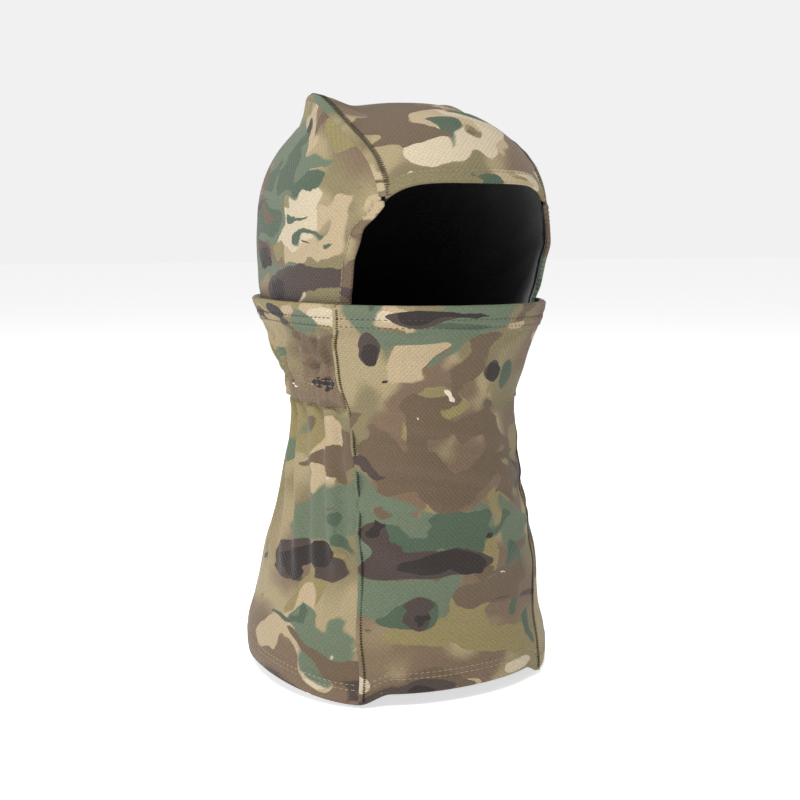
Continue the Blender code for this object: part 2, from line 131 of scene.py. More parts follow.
def folds(theta, z):
    """Outward swell of the tube's cloth: drape, gathers and creases."""
    th = wrap(theta)
    arc = th * 78
    lag = np.abs(th) - seam_angle(z)
    f = 0.55 * wander(arc, z, 3, 62) * (1 - ease(z, 192, 204)) * ease(z, 2, 30)
    # soft level folds across the throat
    zz = z + 7 * th + 2.0 * np.sin(arc / 21)
    throat = bell(th, -0.15, 0.95)
    f = f + throat * (
        2.3 * bell(zz, 139, 5.4) - 2.2 * bell(zz, 128, 4.6) + 2.5 * bell(zz, 117, 5.4) - 2.0 * bell(zz, 107, 4.8)
        + 1.6 * bell(zz, 97, 6.0) - 1.2 * bell(zz, 84, 6.5)
    )
    f = f + bell(th, -0.55, 0.45) * (1.6 * bell(z + 26 * th, 62, 6) - 1.6 * bell(z + 26 * th, 50, 6))
    f = f + bell(th, 0.55, 0.5) * (1.6 * bell(z - 30 * th, 60, 6) - 1.4 * bell(z - 30 * th, 46, 7))
    f = f + bell(th, 0.1, 0.8) * (1.8 * bell(z, 171, 7) - 1.8 * bell(z, 156, 6.5))
    # upright drape folds behind the side seams
    fan = lag * (1 + 0.25 * (150 - z) / 90)
    drape = ease(z, 34, 95) * (1 - ease(z, 150, 158)) * ease(lag, 0.02, 0.14) * (1 - 0.55 * ease(lag, 0.9, 1.5))
    f = f + drape * (1.9 * np.sin(fan * math.tau / 0.235 + 1.1 + 0.9 * np.sin(z / 23)) + 0.9 * np.sin(fan * math.tau / 0.41 + z / 31))
    # the wing: gathers that fan out from the band
    wing = ease(z, 163, 172) * (1 - ease(z, 186, 200)) * ease(lag, 0.0, 0.1)
    f = f + wing * (1.7 * np.sin(lag * 40 + (z - 166) * 0.10 + 1.3 * np.sin(lag * 9)) + 0.8 * np.sin(lag * 71 - z * 0.14))
    f = f + bell(lag, 0.22, 0.16) * (1.2 * bell(z + 30 * (lag - 0.2), 184, 4.5) - 1.2 * bell(z + 30 * (lag - 0.2), 177, 4))
    # hem's elastic pucker
    f = f + 0.16 * np.sin(arc / 4.1 + 1.4 * np.sin(arc / 17)) * ease(z, 196, 200) * (1 - ease(z, 208, 212))
    f = f + 0.35 * np.sin(arc / 5.2 + 1.7 * np.sin(arc / 23)) * bell(z, 195.5, 3.2)
    return f


def skin(theta, z):
    """The outer surface of the face cover and neck, with its hems, band and folds."""
    theta, z = np.broadcast_arrays(np.asarray(theta, float), np.asarray(z, float))
    lag = np.abs(wrap(theta)) - seam_angle(z)
    out = folds(theta, z)
    hem = 0.75 * ease(z, 198.2, 199.4)
    hem = hem - 0.5 * (bell(z, 200.9, 0.55) + bell(z, 205.4, 0.55)) + 0.28 * bell(z, 203.1, 1.5) + 0.3 * bell(z, 208.6, 2.2)
    low = 0.6 * (1 - ease(z, 11.6, 12.8)) - 0.42 * (bell(z, 11.0, 0.5) + bell(z, 8.2, 0.5)) + 0.22 * bell(z, 4.5, 2.4)
    out = out + np.where(z > 190, hem, 0) + np.where(z < 20, low, 0)
    p = tube_point(theta, z, -out)
    p[..., 2] -= hem_drop(theta, z)
    return p


def band_skin(theta, z):
    """The wing above the band, and the gathered band that stands off the neck at its foot."""
    theta, z = np.broadcast_arrays(np.asarray(theta, float), np.asarray(z, float))
    arc = wrap(theta) * 74
    stand = 2.3 * (1 - ease(z, 154, 168))
    gather = 0.6 * np.sin(arc / 0.82 + 2.2 * np.sin(arc / 9.0)) * bell(z, 163, 7.5)
    groove = -0.55 * (bell(z, 168.3, 0.6) + bell(z, 165.2, 0.6)) + 0.5 * bell(z, 159.5, 3.6)
    p, q = skin(theta, z), tube_point(theta, z, -1.0)
    n = q - tube_point(theta, z, 0.0)
    n = n / np.linalg.norm(n, axis=-1, keepdims=True)
    return p + n * (stand + gather + groove)[..., None]


# the hood

HOOD_Z = [186, 190, 200, 212, 225, 245, 262]
HOOD_A = [69.5, 70.6, 74.4, 78.5, 80.1, 80.3, 79.5]
HOOD_D = [88, 89.6, 95.4, 100.8, 103.8, 105.2, 105]
HOOD_C = [-1, -1, 1.5, 3.5, 4.5, 5, 5]
DOME, TOP = 262.0, 334.5
AX_Y, AX_Z = 5.0, 240.0
CENTRE = np.array([0, AX_Y, AX_Z])


def hood_section(z):
    q = np.clip((z - DOME) / (TOP - DOME), 0, 1 - 1e-9)
    a = np.where(z > DOME, 79.5 * np.sqrt(1 - q**2), hermite(z, HOOD_Z, HOOD_A))
    d = np.where(z > DOME, 105.0 * (1 - q**2.5) ** 0.4, hermite(z, HOOD_Z, HOOD_D))
    c = np.where(z > DOME, 5 + 17 * q**3, hermite(z, HOOD_Z, HOOD_C))
    return a, d, c


def hood_hit(start, way):
    start, way = np.broadcast_arrays(np.asarray(start, float), np.asarray(way, float))
    lo, hi = np.zeros(start.shape[:-1]), np.full(start.shape[:-1], 260.0)
    for _ in range(28):
        mid = (lo + hi) / 2
        p = start + way * mid[..., None]
        a, d, c = hood_section(p[..., 2])
        level = np.abs(p[..., 0] / a) ** NSUP + np.abs((p[..., 1] - c) / d) ** NSUP
        out = (level > 1) | (p[..., 2] >= TOP)
        lo, hi = np.where(out, lo, mid), np.where(out, mid, hi)
    return start + way * lo[..., None]


def hood_out(p):
    n = np.stack([p[..., 0] / 80**2, (p[..., 1] - AX_Y) / 105**2, np.clip(p[..., 2] - AX_Z, 0, None) / 94**2], -1)
    return n / np.linalg.norm(n, axis=-1, keepdims=True)


def seam_half(psi):
    return hermite(np.degrees(psi), [15, 50, 90, 130, 170, 212], [51, 53, 47, 40, 33, 28])


def angle_of(p):
    return np.arctan2(p[..., 2] - AX_Z, -(p[..., 1] - AX_Y)) % (2 * math.pi)


def hood_dress(p, inset, plainly=False):
    """Raised seams, the sag between them, soft creases; then the inset."""
    psi = angle_of(p)
    deg = np.degrees(psi)
    x = p[..., 0]
    inset = inset + np.maximum(0.1 - inset, 0) * (1 - ease(p[..., 2], 213, 221))
    crown = ease(deg, 35, 80) * (1 - ease(deg, 90, 132)) * (0.25 + 0.75 * (1 - ease(x, -10, 25)))
    beside = np.abs(x) - seam_half(psi)
    peak = ease(deg, 52, 80) * (1 - ease(deg, 86, 116)) * (1 - ease(x, -20, 0))
    lift = crown * (6.0 * bell(beside, 0, 14) - 1.5 * bell(x, 0, 26)) + peak * 12.0 * bell(beside, 0, 8)
    free = ease(p[..., 2], 214, 232)
    soft = 0.5 * wander(p[..., 1] + 0.4 * x, p[..., 2] - 0.3 * x, 11, 70)
    soft = soft + 0.28 * np.sin(p[..., 1] / 2.6 + p[..., 2] / 3.4) * bell(beside, -5.5, 4.0) * ease(deg, 20, 34)
    soft = soft + 0.24 * np.sin(p[..., 1] / 3.1 - p[..., 2] / 2.8) * bell(beside, 6.0, 4.0) * ease(deg, 20, 34)
    # shallow creases on the brow part of the centre panel and behind the ears
    a, b = deg + 0.22 * x, deg - 0.30 * x
    soft = soft + 1.3 * bell(a, 47, 2.3) * bell(x, 4, 17) - 1.0 * bell(a, 41.5, 2.6) * bell(x, 6, 18)
    soft = soft + 1.1 * bell(b, 62, 2.6) * bell(x, 16, 15) - 0.9 * bell(b, 56, 2.6) * bell(x, 18, 15)
    side = ease(np.abs(x), 50, 70)
    soft = soft + side * (1.2 * bell(p[..., 2] + 0.35 * p[..., 1], 226, 6) - 0.9 * bell(p[..., 2] + 0.35 * p[..., 1], 238, 7)) * bell(p[..., 1], 5, 50)
    if plainly:
        soft = soft * 0
    return p + hood_out(p) * (lift + soft * free - inset)[..., None]


def strip(x, psi):
    x, psi = np.broadcast_arrays(np.asarray(x, float), np.asarray(psi, float))
    start = np.stack([x, np.full_like(x, AX_Y), np.full_like(x, AX_Z)], -1)
    return hood_hit(start, np.stack([np.zeros_like(x), -np.cos(psi), np.sin(psi)], -1))


def bisect_psi(x, height, lo_deg, hi_deg, rising):
    lo, hi = np.radians(lo_deg) * np.ones_like(x), np.radians(hi_deg) * np.ones_like(x)
    for _ in range(22):
        mid = (lo + hi) / 2
        z = strip(x, mid)[..., 2]
        short = z < height if rising else z > height
        lo, hi = np.where(short, mid, lo), np.where(short, hi, mid)
    return (lo + hi) / 2


def front_psi(x, height):
    return bisect_psi(x, height, -35, 75, True)


def nape_psi(x, height):
    return bisect_psi(x, height, 165, 240, False)


def brim_height(x):
    return 280 - 8.5 * np.minimum(np.abs(x) / 50, 1.1) ** 6


OPEN_Z = [186, 213, 236, 246, 254, 260, 266.5]
OPEN_X = [64, 64, 63.4, 61.5, 60, 56, 52]


def opening_point(z, out, sign=1):
    z = np.asarray(z, float)
    a, d, c = hood_section(z)
    theta = np.arcsin((hermite(z, OPEN_Z, OPEN_X) / a) ** (NSUP / 2))
    theta = theta + out / np.sqrt((a * np.cos(theta)) ** 2 + (d * np.sin(theta)) ** 2)
    s, k = np.sin(theta), np.cos(theta)
    return np.stack([sign * a * s ** (2 / NSUP), c - d * np.abs(k) ** (2 / NSUP), z * np.ones_like(s)], -1)


SKIRT = 190.0
PSI_NAPE = math.radians(210)
_lim = {}


def seam_line(offset, v, sign):
    if offset not in _lim:
        first = np.array([seam_half(math.radians(20)) + offset])
        last = np.array([seam_half(PSI_NAPE) + offset])
        _lim[offset] = float(front_psi(first, 270.5)[0]), float(nape_psi(last, SKIRT)[0])
    lo, hi = _lim[offset]
    psi = lo + np.asarray(v, float) * (hi - lo)
    return strip(seam_half(psi) + offset, psi) * [sign, 1, 1]


def way(p):
    q = p - CENTRE
    return q / np.linalg.norm(q, axis=-1, keepdims=True)


def coons(front, back, bottom, top):
    """Directions between four curves: front and back run upwards (rows), bottom and top run backwards (columns)."""
    f, b, lo, up = way(front)[:, None], way(back)[:, None], way(bottom)[None], way(top)[None]
    t = np.linspace(0, 1, len(front))[:, None, None]
    s = np.linspace(0, 1, len(bottom))[None, :, None]
    d = (1 - s) * f + s * b + (1 - t) * lo + t * up
    d = d - ((1 - s) * (1 - t) * f[:1] + (1 - s) * t * f[-1:] + s * (1 - t) * b[:1] + s * t * b[-1:])
    return hood_hit(CENTRE, d / np.linalg.norm(d, axis=-1, keepdims=True))


def skirt_point(theta, sign, up=0.0):
    a, d, c = hood_section(np.asarray(SKIRT))
    s, k = np.sin(theta), np.cos(theta)
    return np.stack([sign * a * np.abs(s) ** (2 / NSUP), c - d * np.sign(k) * np.abs(k) ** (2 / NSUP), np.full_like(s, SKIRT + up)], -1)


def skirt_angle(p):
    a, d, c = hood_section(np.asarray(SKIRT))
    s = min(abs(p[0]) / a, 1) ** (NSUP / 2)
    return math.asin(s) if p[1] < c else math.pi - math.asin(s)


def side_grid(sign, edge_out, split, seam_offset, rows, cols):
    t = np.linspace(0, 1, rows)
    corner = seam_line(seam_offset, np.array([0.0]), sign)[0]
    lowpart = opening_point(SKIRT + (266 - SKIRT) * np.minimum(t / 0.86, 1), edge_out, sign)
    k = np.clip((t - 0.86) / 0.14, 0, 1)[:, None]
    front = (1 - k) * lowpart + k * corner
    back = seam_line(seam_offset, 1 - t * (1 - split), sign)
    top = seam_line(seam_offset, np.linspace(0, 1, cols) * split, sign)
    a2, a3 = skirt_angle(front[0]), skirt_angle(back[0])
    bottom = skirt_point(a2 + np.linspace(0, 1, cols) * (a3 - a2), sign)
    return coons(front, back, bottom, top)


def lining_grid(sign, rows, cols):
    x0 = np.array([0.1])
    lo, hi = front_psi(x0, brim_height(x0) + 3.0)[0], nape_psi(x0, SKIRT + 2)[0]

    def centre_line(v):
        psi = lo + v * (hi - lo)
        return strip(np.full_like(psi, 0.1), psi) * [sign, 1, 1]

    turn, low, n = 0.66, 265.0, rows
    t = np.linspace(0, 1, n)
    lowpart = opening_point(SKIRT + 2 + (low - SKIRT - 2) * np.minimum(t / turn, 1), 3.4, sign)
    k = np.clip((t - turn) / (1 - turn), 0, 1)
    xb = 0.1 + (1 - np.clip((k - 0.25) / 0.75, 0, 1)) * 46.0
    brim = strip(xb, front_psi(xb, brim_height(xb) + 3.0)) * [sign, 1, 1]
    m = np.clip(k / 0.25, 0, 1)[:, None]
    front = (1 - m) * lowpart + m * brim
    back = centre_line(1 - t * 0.4)
    top = centre_line(np.linspace(0, 1, cols) * 0.6)
    a2, a3 = skirt_angle(front[0]), skirt_angle(back[0])
    return coons(front, back, skirt_point(a2 + np.linspace(0, 1, cols) * (a3 - a2), sign, 2.0), top)


# ---------------------------------------------------------------- materials


def lin(r, g, b):
    def one(c):
        c = c / 255
        return c / 12.92 if c <= 0.04045 else ((c + 0.055) / 1.055) ** 2.4

    return (one(r), one(g), one(b), 1)


class Nodes:
    def __init__(self, name):
        self.material = bpy.data.materials.new(name)
        self.material.use_nodes = True
        self.tree = self.material.node_tree
        self.shader = self.tree.nodes["Principled BSDF"]

    def new(self, kind, **settings):
        n = self.tree.nodes.new(kind)
        for key, value in settings.items():
            setattr(n, key, value)
        return n

    def link(self, a, b):
        self.tree.links.new(a, b)

    def math(self, op, a, b=None, clamp=False):
        n = self.new("ShaderNodeMath", operation=op, use_clamp=clamp)
        for i, v in enumerate((a, b)):
            if v is None:
                continue
            if isinstance(v, (int, float)):
                n.inputs[i].default_value = v
            else:
                self.link(v, n.inputs[i])
        return n.outputs[0]

    def noise(self, vector, scale, detail=2.0, rough=0.5, distortion=0.0):
        n = self.new("ShaderNodeTexNoise", noise_dimensions="3D")
        n.inputs["Scale"].default_value = scale
        n.inputs["Detail"].default_value = detail
        n.inputs["Roughness"].default_value = rough
        n.inputs["Distortion"].default_value = distortion
        self.link(vector, n.inputs["Vector"])
        return n.outputs["Fac"]

    def mapped(self, vector, move, stretch, turn=0.0):
        n = self.new("ShaderNodeMapping")
        n.inputs["Location"].default_value = move
        n.inputs["Scale"].default_value = stretch
        n.inputs["Rotation"].default_value = (0, 0, turn)
        self.link(vector, n.inputs["Vector"])
        return n.outputs[0]

    def mix(self, fac, a, b):
        n = self.new("ShaderNodeMix", data_type="RGBA")
        if isinstance(fac, float):
            n.inputs[0].default_value = fac
        else:
            self.link(fac, n.inputs[0])
        for socket, v in ((6, a), (7, b)):
            if isinstance(v, tuple):
                n.inputs[socket].default_value = v
            else:
                self.link(v, n.inputs[socket])
        return n.outputs[2]

    def edge(self, value, at, soft):
        n = self.new("ShaderNodeMapRange", interpolation_type="SMOOTHSTEP")
        n.inputs["From Min"].default_value = at - soft
        n.inputs["From Max"].default_value = at + soft
        self.link(value, n.inputs["Value"])
        return n.outputs[0]


def knit(m, uv, pitch, depth):
    """A fine diamond mesh; returns its height and a mask of its pits, which the camo darkens as painted shade."""
    sep = m.new("ShaderNodeSeparateXYZ")
    m.link(uv, sep.inputs[0])
    k = math.tau / pitch
    plus = m.math("MULTIPLY", m.math("ADD", sep.outputs[0], sep.outputs[1]), k)
    less = m.math("MULTIPLY", m.math("SUBTRACT", sep.outputs[0], sep.outputs[1]), k)
    weave_and_pit_shade = m.math("MULTIPLY", m.math("ADD", m.math("SINE", plus), 1.0), m.math("ADD", m.math("SINE", less), 1.0))
    weave_and_pit_shade = m.math("SUBTRACT", m.math("MULTIPLY", weave_and_pit_shade, 0.5), 0.5)
    fuzz = m.noise(uv, 900.0, 2.0)
    height = m.math("ADD", m.math("MULTIPLY", weave_and_pit_shade, 0.5), m.math("MULTIPLY", fuzz, 0.8))
    bump = m.new("ShaderNodeBump")
    bump.inputs["Strength"].default_value = depth
    bump.inputs["Distance"].default_value = 0.0004
    m.link(height, bump.inputs["Height"])
    m.link(bump.outputs[0], m.shader.inputs["Normal"])
    return weave_and_pit_shade


def camo(name):
    m = Nodes(name)
    uv = m.new("ShaderNodeUVMap", uv_map="flat").outputs[0]
    zone = m.new("ShaderNodeVertexColor", layer_name="zone")
    zones = m.new("ShaderNodeSeparateColor")
    m.link(zone.outputs["Color"], zones.inputs[0])
    # uneven outlines: the coordinates are pushed about by two sizes of noise
    warp = m.new("ShaderNodeTexNoise", noise_dimensions="3D")
    warp.inputs["Scale"].default_value = 30.0
    warp.inputs["Detail"].default_value = 1.0
    m.link(uv, warp.inputs["Vector"])
    push = m.new("ShaderNodeVectorMath", operation="MULTIPLY_ADD")
    m.link(warp.outputs["Color"], push.inputs[0])
    push.inputs[1].default_value = (0.030, 0.022, 0)
    m.link(uv, push.inputs[2])
    fine = m.new("ShaderNodeTexNoise", noise_dimensions="3D")
    fine.inputs["Scale"].default_value = 190.0
    fine.inputs["Detail"].default_value = 2.0
    m.link(uv, fine.inputs["Vector"])
    push2 = m.new("ShaderNodeVectorMath", operation="MULTIPLY_ADD")
    m.link(fine.outputs["Color"], push2.inputs[0])
    push2.inputs[1].default_value = (0.0030, 0.0030, 0)
    m.link(push.outputs[0], push2.inputs[2])
    p = push2.outputs[0]

    def blot(move, stretch, turn, scale, bias, at, soft=0.012, detail=1.6):
        n = m.noise(m.mapped(p, move, stretch, turn), scale, detail, 0.45, 0.75)
        if bias is not None:
            n = m.math("ADD", n, m.math("MULTIPLY", m.math("MULTIPLY", m.math("SUBTRACT", bias, 0.5), 0.62), ragged))
        return m.edge(n, at, soft)

    ragged = m.math("ADD", m.math("MULTIPLY", m.noise(p, 44.0, 0.4), 3.4), -0.7)
    r, g, b = zones.outputs[0], zones.outputs[1], zones.outputs[2]
    dark = zone.outputs["Alpha"]
    colour = m.mix(blot((0.3, 0.1, 0), (1, 1, 1), 0.4, 15.0, None, 0.5, 0.07), lin(112, 102, 72), lin(142, 127, 94))
    colour = m.mix(blot((1.3, 0.2, 0), (1, 1.2, 1), 0.3, 13.0, b, 0.55, 0.06), colour, lin(104, 85, 66))
    colour = m.mix(blot((2.6, 0.9, 0), (1, 1.4, 1), 0.5, 19.0, None, 0.60, 0.008), colour, lin(122, 110, 70))
    colour = m.mix(blot((2.1, 0.7, 0), (1, 1.3, 1), -0.5, 17.0, r, 0.655, 0.008), colour, lin(158, 140, 109))
    colour = m.mix(blot((4.1, 1.7, 0), (1, 1.2, 1), 0.9, 23.0, r, 0.725, 0.008), colour, lin(176, 162, 136))
    colour = m.mix(blot((3.2, 2.3, 0), (0.8, 1.2, 1), 0.2, 18.0, g, 0.615, 0.014), colour, lin(88, 99, 79))
    colour = m.mix(blot((6.2, 3.3, 0), (1, 1.5, 1), 0.15, 28.0, g, 0.70, 0.012), colour, lin(66, 81, 64))
    colour = m.mix(blot((9.4, 2.8, 0), (0.7, 1.7, 1), 0.25, 26.0, b, 0.665, 0.008), colour, lin(92, 76, 58))
    colour = m.mix(blot((5.5, 1.1, 0), (0.55, 1.6, 1), 0.12, 21.0, dark, 0.645, 0.008), colour, lin(66, 55, 50))
    colour = m.mix(blot((7.5, 4.1, 0), (0.8, 1.8, 1), 0.1, 34.0, dark, 0.735, 0.008), colour, lin(45, 39, 37))
    colour = m.mix(blot((8.8, 0.4, 0), (1.0, 1.7, 1), 0.2, 46.0, None, 0.755, 0.008), colour, lin(198, 188, 168))
    # printed yarn: faint streaks along the courses, and painted shade darkening the mesh pits
    grain = m.noise(m.mapped(uv, (0, 0, 0), (0.35, 1, 1)), 1100.0, 2.0)
    weave_and_pit_shade = knit(m, uv, 0.0028, 0.9)
    value = m.math("ADD", m.math("MULTIPLY", grain, 0.34), 0.83)
    # painted shade: the value drops in the pits of the diamond mesh
    value = m.math("ADD", value, m.math("MULTIPLY", weave_and_pit_shade, 0.11))
    broad = m.noise(uv, 7.0, 2.0)
    value = m.math("ADD", value, m.math("MULTIPLY", broad, 0.10))
    hsv = m.new("ShaderNodeHueSaturation")
    m.link(value, hsv.inputs["Value"])
    hsv.inputs["Saturation"].default_value = 0.94
    m.link(colour, hsv.inputs["Color"])
    m.link(hsv.outputs[0], m.shader.inputs["Base Color"])
    m.link(m.math("ADD", m.math("MULTIPLY", grain, 0.12), 0.80), m.shader.inputs["Roughness"])
    m.shader.inputs["Specular IOR Level"].default_value = 0.22
    m.shader.inputs["Sheen Weight"].default_value = 0.10
    m.shader.inputs["Sheen Roughness"].default_value = 0.5
    return m.material


def dull(name, rgb, rough, pitch=0.0022, depth=0.4, sheen=0.15):
    m = Nodes(name)
    uv = m.new("ShaderNodeUVMap", uv_map="flat").outputs[0]
    knit(m, uv, pitch, depth)
    n = m.noise(uv, 60.0, 3.0)
    value = m.math("ADD", m.math("MULTIPLY", n, 0.5), 0.75)
    hsv = m.new("ShaderNodeHueSaturation")
    hsv.inputs["Color"].default_value = rgb
    m.link(value, hsv.inputs["Value"])
    m.link(hsv.outputs[0], m.shader.inputs["Base Color"])
    m.shader.inputs["Roughness"].default_value = rough
    m.shader.inputs["Specular IOR Level"].default_value = 0.2
    m.shader.inputs["Sheen Weight"].default_value = sheen
    return m.material


CAMO = camo("camo_knit")
BLACK = dull("black_lining", lin(33, 33, 37), 0.88, 0.0022, 0.5, 0.35)
THREAD = dull("seam_thread", lin(70, 60, 50), 0.7, 0.0008, 0.3)
# dark thread, partly standing in as a painted shadow line beside the side seams
DARK_THREAD_AND_SHADOW = dull("dark_thread_and_painted_shadow", lin(40, 33, 28), 0.8, 0.0008, 0.3, 0.0)
PALE = dull("pale_thread", lin(150, 138, 112), 0.7, 0.0008, 0.3)
WEB = dull("woven_elastic", lin(40, 40, 40), 0.7, 0.0016, 0.8)

# ---------------------------------------------------------------- meshes

DONE = []


LEAN_Z = [-10, 60, 110, 150, 170, 190, 200, 212, 225, 235, 248, 262, 290, 345]
LEAN = [0.99, 0.975, 0.955, 0.955, 0.95, 0.945, 0.94, 0.93, 0.955, 0.985, 1.035, 1.035, 1.01, 1.0]


def to_world(points):
    """Metres in the frame; the wearer's left side hangs a little closer, as it does when worn."""
    points = np.array(points, float)
    points[..., 0] *= np.where(points[..., 0] > 0, hermite(points[..., 2], LEAN_Z, LEAN), 1)
    return (points - [0, 0, CROWN_SEAT]) / 1000


def grid_normals(g):
    du = np.gradient(g, axis=1)
    dv = np.gradient(g, axis=0)
    n = np.cross(du, dv)
    n = n / (np.linalg.norm(n, axis=-1, keepdims=True) + 1e-12)
    return n


def cloth(name, g, thick, uv, zone=None, inner=None, outward=None, slots=None):
    """A closed double-faced sheet from an outer grid, with rounded edges. thick is a number or one per point."""
    rows, cols = g.shape[:2]
    n = grid_normals(g)
    middle = g.reshape(-1, 3).mean(0)
    outward = (g - [0, middle[1] * 0.2, 0]) * [1, 1, 0.4] if outward is None else outward
    if (n * outward).sum() < 0:
        n = -n
    flip = np.cross(np.gradient(g, axis=1), np.gradient(g, axis=0))
    turned = (flip * n).sum() < 0
    t = np.broadcast_to(np.asarray(thick, float), (rows, cols))[..., None]
    back = g - n * t
    # the border bulges by a third of the thickness, as a turned edge does
    border = []
    for j in range(cols):
        border.append((0, j))
    for i in range(1, rows):
        border.append((i, cols - 1))
    for j in range(cols - 2, -1, -1):
        border.append((rows - 1, j))
    for i in range(rows - 2, 0, -1):
        border.append((i, 0))
    bi = np.array(border)
    inside = np.clip(bi, 1, [rows - 2, cols - 2])
    away = g[bi[:, 0], bi[:, 1]] - g[inside[:, 0], inside[:, 1]]
    away = away / (np.linalg.norm(away, axis=1, keepdims=True) + 1e-9)
    tb = t[bi[:, 0], bi[:, 1]]
    rims = []
    base, far = g[bi[:, 0], bi[:, 1]], back[bi[:, 0], bi[:, 1]]
    for k in (0.2, 0.5, 0.8):
        bulge = math.sin(k * math.pi) * 0.42
        rims.append(base * (1 - k) + far * k + away * np.minimum(tb, 2.0) * bulge)
    count = rows * cols
    points = np.concatenate([g.reshape(-1, 3), back.reshape(-1, 3)] + rims)
    i, j = np.meshgrid(np.arange(rows - 1), np.arange(cols - 1), indexing="ij")
    a = (i * cols + j).ravel()
    quads = np.stack([a, a + 1, a + cols + 1, a + cols], 1)
    inner_quads = quads[:, ::-1] + count
    m = len(bi)
    flat = bi[:, 0] * cols + bi[:, 1]
    chain = [flat] + [2 * count + r * m + np.arange(m) for r in range(3)] + [flat + count]
    sides = []
    for p, q in zip(chain[:-1], chain[1:]):
        nx = np.roll(np.arange(m), -1)
        sides.append(np.stack([p, q, q[nx], p[nx]], 1))
    sides = np.concatenate(sides)
    quads_all = np.concatenate([quads, inner_quads, sides])
    if turned:
        quads_all = quads_all[:, ::-1]
    mesh = bpy.data.meshes.new(name)
    world = to_world(points)
    mesh.vertices.add(len(world))
    mesh.vertices.foreach_set("co", world.astype(np.float32).ravel())
    mesh.loops.add(quads_all.size)
    mesh.loops.foreach_set("vertex_index", quads_all.astype(np.int32).ravel())
    mesh.polygons.add(len(quads_all))
    mesh.polygons.foreach_set("loop_start", np.arange(0, quads_all.size, 4, dtype=np.int32))
    mesh.update(calc_edges=True)
    mesh.validate()
    mesh.shade_smooth()
    uvb = uv[bi[:, 0], bi[:, 1]]
    uv_all = np.concatenate([uv.reshape(-1, 2), uv.reshape(-1, 2)] + [uvb] * 3) / 1000
    layer = mesh.uv_layers.new(name="flat")
    order = np.empty(len(mesh.loops), np.int32)
    mesh.loops.foreach_get("vertex_index", order)
    layer.data.foreach_set("uv", uv_all[order].astype(np.float32).ravel())
    if zone is None:
        zone = np.full((rows, cols, 4), 0.5)
    zb = zone[bi[:, 0], bi[:, 1]]
    z_all = np.concatenate([zone.reshape(-1, 4), zone.reshape(-1, 4)] + [zb] * 3)
    attribute = mesh.color_attributes.new("zone", "FLOAT_COLOR", "POINT")
    attribute.data.foreach_set("color", np.clip(z_all, 0, 1).astype(np.float32).ravel())
    for slot in slots or (CAMO, BLACK):
        mesh.materials.append(slot)
    index = np.zeros(len(mesh.polygons), np.int32)
    if slots is None and len(mesh.polygons) == len(quads_all):
        index[len(quads) : 2 * len(quads)] = 1
    mesh.polygons.foreach_set("material_index", index)
    made = bpy.data.objects.new(name, mesh)
    bpy.context.scene.collection.objects.link(made)
    gw = g / 1000
    across = np.linalg.norm(np.diff(gw, axis=1), axis=-1)
    along = np.linalg.norm(np.diff(gw, axis=0), axis=-1)
    width, length = float(across.sum(1).max()), float(along.sum(0).max())
    e1, e2 = gw[1:, :-1] - gw[:-1, :-1], gw[:-1, 1:] - gw[:-1, :-1]
    area = float(np.linalg.norm(np.cross(e1, e2), axis=-1).sum())
    made["flat_w"], made["flat_l"], made["flat_area"] = width, length, min(area, width * length)
    DONE.append(made)
    return made


def threads(name, start, end, normal, radius, bulge, slot):
    """Short stitches from start to end, each a small arched tube."""
    start, end, normal = (np.asarray(v, float) for v in (start, end, normal))
    normal = normal / (np.linalg.norm(normal, axis=1, keepdims=True) + 1e-9)
    run = end - start
    side = np.cross(run, normal)
    side = side / (np.linalg.norm(side, axis=1, keepdims=True) + 1e-9)
    rings, sides = ((0.0, -0.5, 0.25), (0.16, 0.45, 0.9), (0.5, 1.0, 1.0), (0.84, 0.45, 0.9), (1.0, -0.5, 0.25)), 5
    points = []
    for at, up, wide in rings:
        middle = start + run * at + normal * (bulge * up)
        for s in range(sides):
            w = math.tau * s / sides
            points.append(middle + (side * math.cos(w) + normal * math.sin(w)) * radius * wide)
    points = np.stack(points, 1)
    per = points.shape[1]
    faces = []
    for r in range(len(rings) - 1):
        for s in range(sides):
            t = (s + 1) % sides
            faces.append((r * sides + s, (r + 1) * sides + s, (r + 1) * sides + t, r * sides + t))
    faces = np.array(faces)
    count = len(start)
    every = (faces[None] + (np.arange(count) * per)[:, None, None]).reshape(-1, 4)
    mesh = bpy.data.meshes.new(name)
    world = to_world(points.reshape(-1, 3))
    mesh.vertices.add(len(world))
    mesh.vertices.foreach_set("co", world.astype(np.float32).ravel())
    mesh.loops.add(every.size)
    mesh.loops.foreach_set("vertex_index", every.astype(np.int32).ravel())
    mesh.polygons.add(len(every))
    mesh.polygons.foreach_set("loop_start", np.arange(0, every.size, 4, dtype=np.int32))
    mesh.update(calc_edges=True)
    mesh.shade_smooth()
    layer = mesh.uv_layers.new(name="flat")
    layer.data.foreach_set("uv", (np.random.default_rng(5).random(len(mesh.loops) * 2) * 0.01).astype(np.float32))
    mesh.materials.append(slot)
    made = bpy.data.objects.new(name, mesh)
    bpy.context.scene.collection.objects.link(made)
    return made


def dashes(line, normal, length=2.3, gap=1.0, lift=0.12):
    """Evenly spaced stitches along a polyline: (start, end, normal)."""
    step = np.linalg.norm(np.diff(line, axis=0), axis=1)
    s = np.concatenate([[0], np.cumsum(step)])
    n = int(s[-1] // (length + gap))
    at = (np.arange(n) + 0.5) * s[-1] / max(n, 1)

    def pick(v, where):
        return np.stack([np.interp(where, s, v[:, k]) for k in range(3)], 1)

    up = pick(normal, at)
    return pick(line, at - length / 2) + up * lift, pick(line, at + length / 2) + up * lift, up


def joined(*sets):
    return tuple(np.concatenate([s[k] for s in sets]) for k in range(3))


